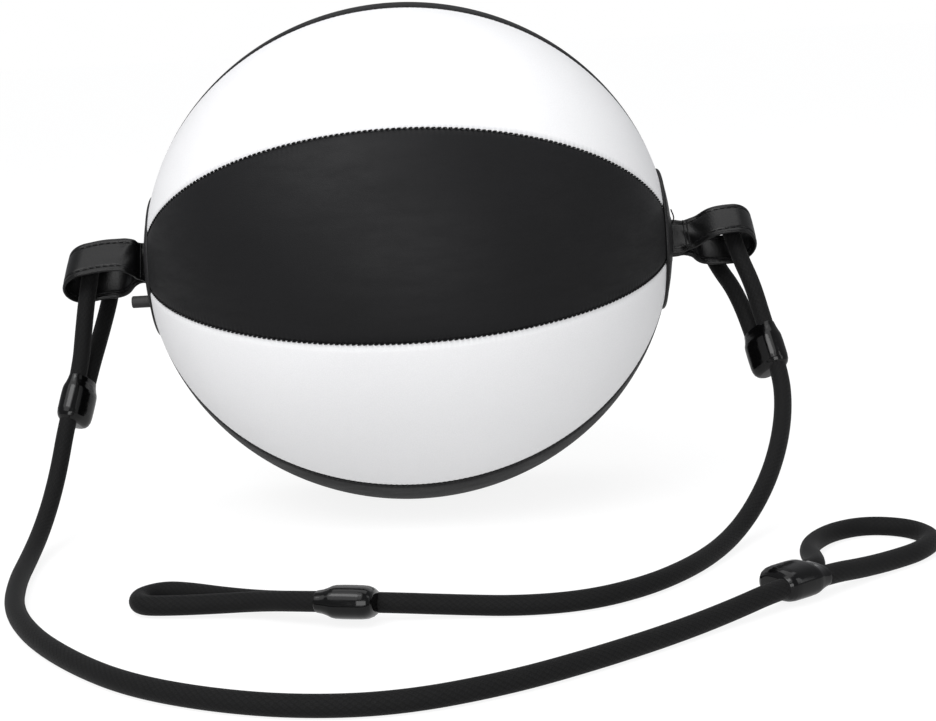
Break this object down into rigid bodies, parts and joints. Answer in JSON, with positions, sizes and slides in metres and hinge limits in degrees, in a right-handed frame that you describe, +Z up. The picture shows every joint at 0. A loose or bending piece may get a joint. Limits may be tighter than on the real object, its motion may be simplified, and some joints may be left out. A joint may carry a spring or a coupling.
{
  "type": "double-end punching ball",
  "caption": "Round black and white leather punching ball with a strap loop at each pole and an elastic shock cord, looped and ferruled at both ends, through each strap.",
  "frame": {"origin": "on the floor directly below the ball's centre, where the lowest panel touches it", "axes": "+X along the ball's polar axis towards the right strap, +Y to the back, +Z up"},
  "size_m": [0.3416, 0.3564, 0.206],
  "materials": {
    "black_leather": "matte",
    "white_leather": "matte",
    "strap_leather": "satin",
    "lining_cloth": "matte",
    "bladder_rubber": "matte",
    "valve_rubber": "satin",
    "woven_cord": "matte",
    "ferrule_plastic": "gloss"
  },
  "bodies": {
    "ball": {"panel_front_black": "black_leather", "panel_upper_front_white": "white_leather", "panel_top_black": "black_leather", "panel_upper_back_white": "white_leather", "panel_back_black": "black_leather", "panel_lower_back_white": "white_leather", "panel_bottom_black": "black_leather", "panel_lower_front_white": "white_leather", "lining": "lining_cloth", "bladder": "bladder_rubber", "valve_stem": "valve_rubber", "valve_core": "valve_rubber", "left_pole_cap": "black_leather", "right_pole_cap": "black_leather", "left_backing_disc": "black_leather", "right_backing_disc": "black_leather"},
    "left_strap": {"left_strap": "strap_leather", "left_strap_anchor": "strap_leather"},
    "right_strap": {"right_strap": "strap_leather", "right_strap_anchor": "strap_leather"},
    "left_cord": {"left_cord": "woven_cord", "left_upper_ferrule": "ferrule_plastic", "left_end_ferrule": "ferrule_plastic"},
    "right_cord": {"right_cord": "woven_cord", "right_upper_ferrule": "ferrule_plastic", "right_end_ferrule": "ferrule_plastic"}
  },
  "joints": [
    {"name": "left_strap_twist", "type": "hinge", "parent": "ball", "child": "left_strap", "pos_m": [-0.1105, 0, 0.103], "axis": [1, 0, 0], "range_deg": [-35, 35]},
    {"name": "right_strap_twist", "type": "hinge", "parent": "ball", "child": "right_strap", "pos_m": [0.1105, 0, 0.103], "axis": [1, 0, 0], "range_deg": [-35, 35]},
    {"name": "left_eye_slide", "type": "slide", "parent": "left_strap", "child": "left_cord", "axis": [1, 0, 0], "range_m": [-0.003, 0.003]},
    {"name": "right_eye_slide", "type": "slide", "parent": "right_strap", "child": "right_cord", "axis": [1, 0, 0], "range_m": [-0.004, 0.0005]}
  ]
}
